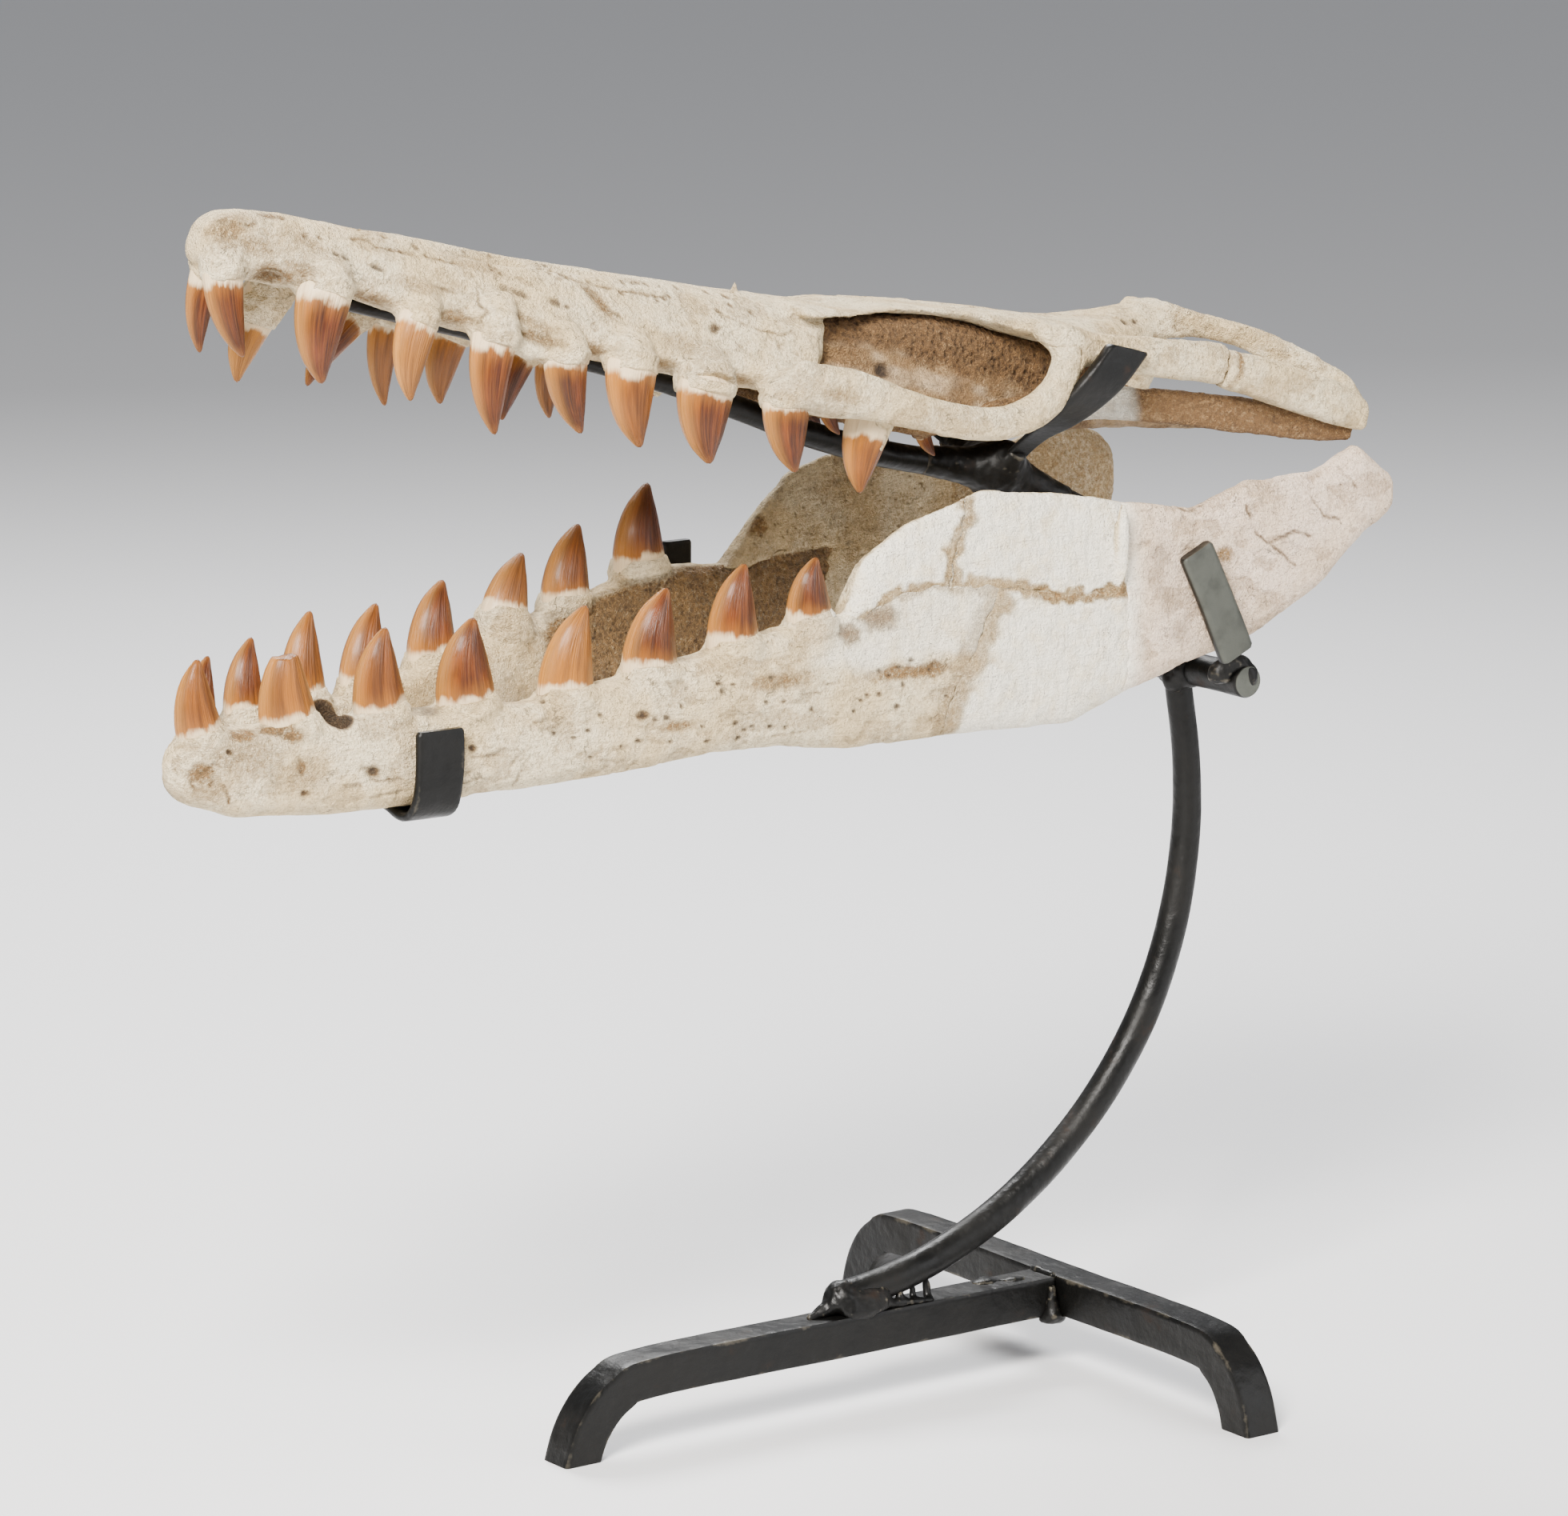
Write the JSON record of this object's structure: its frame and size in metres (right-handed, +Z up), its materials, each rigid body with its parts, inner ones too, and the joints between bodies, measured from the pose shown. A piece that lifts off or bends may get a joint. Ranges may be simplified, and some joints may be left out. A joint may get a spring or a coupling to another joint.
{
  "type": "fossil mosasaur skull on iron stand",
  "caption": "Fossil mosasaur skull with gaping toothed jaws, carried over a forged-iron tripod stand by a bowed rod, straps and clips.",
  "frame": {"origin": "centre of the bounding box, on the floor", "axes": "+X towards the rear of the skull, +Y towards the animal's right side, +Z up"},
  "size_m": [0.5462, 0.2654, 0.4852],
  "materials": {
    "pale_bone": "chalky fossil bone, pale cream with grey-beige mottling, cracks and small pits",
    "brown_bone": "rough porous brown fossil bone and matrix",
    "pink_bone": "matte pinkish-beige fossil bone with brown stains",
    "tooth_enamel": "glossy brown-orange enamel with fine lengthwise streaks and paler worn tips",
    "forged_iron": "hand-forged dark iron, waxed satin, with worn and rust-brown patches"
  },
  "bodies": {
    "root": {"premaxilla": "pale_bone", "maxilla_left": "pale_bone", "maxilla_right": "pale_bone", "jugal_left": "pale_bone", "jugal_right": "pale_bone", "postorbital_left": "pale_bone", "postorbital_right": "pale_bone", "squamosal_left": "pale_bone", "squamosal_right": "pale_bone", "frontal": "pale_bone", "parietal": "pale_bone", "dentary_left": "pale_bone", "dentary_right": "pale_bone", "coronoid_left": "pale_bone", "coronoid_right": "pale_bone", "surangular_left": "pale_bone", "surangular_right": "pale_bone", "angular_left": "pale_bone", "angular_right": "pale_bone", "braincase": "brown_bone", "pterygoid_left": "brown_bone", "pterygoid_right": "brown_bone", "articular_left": "pink_bone", "articular_right": "pink_bone", "stand_stem": "forged_iron", "stand_crossbar": "forged_iron", "stand_head": "forged_iron", "stand_upright": "forged_iron", "stand_palate_rod": "forged_iron", "stand_cheek_strap_left": "forged_iron", "stand_cheek_strap_right": "forged_iron", "stand_rear_bar_left": "forged_iron", "stand_clip_left": "forged_iron", "stand_rear_bar_right": "forged_iron", "stand_clip_right": "forged_iron", "stand_jaw_rod": "forged_iron", "stand_front_strap": "forged_iron", "stand_mid_strap": "forged_iron"}
  },
  "joints": []
}
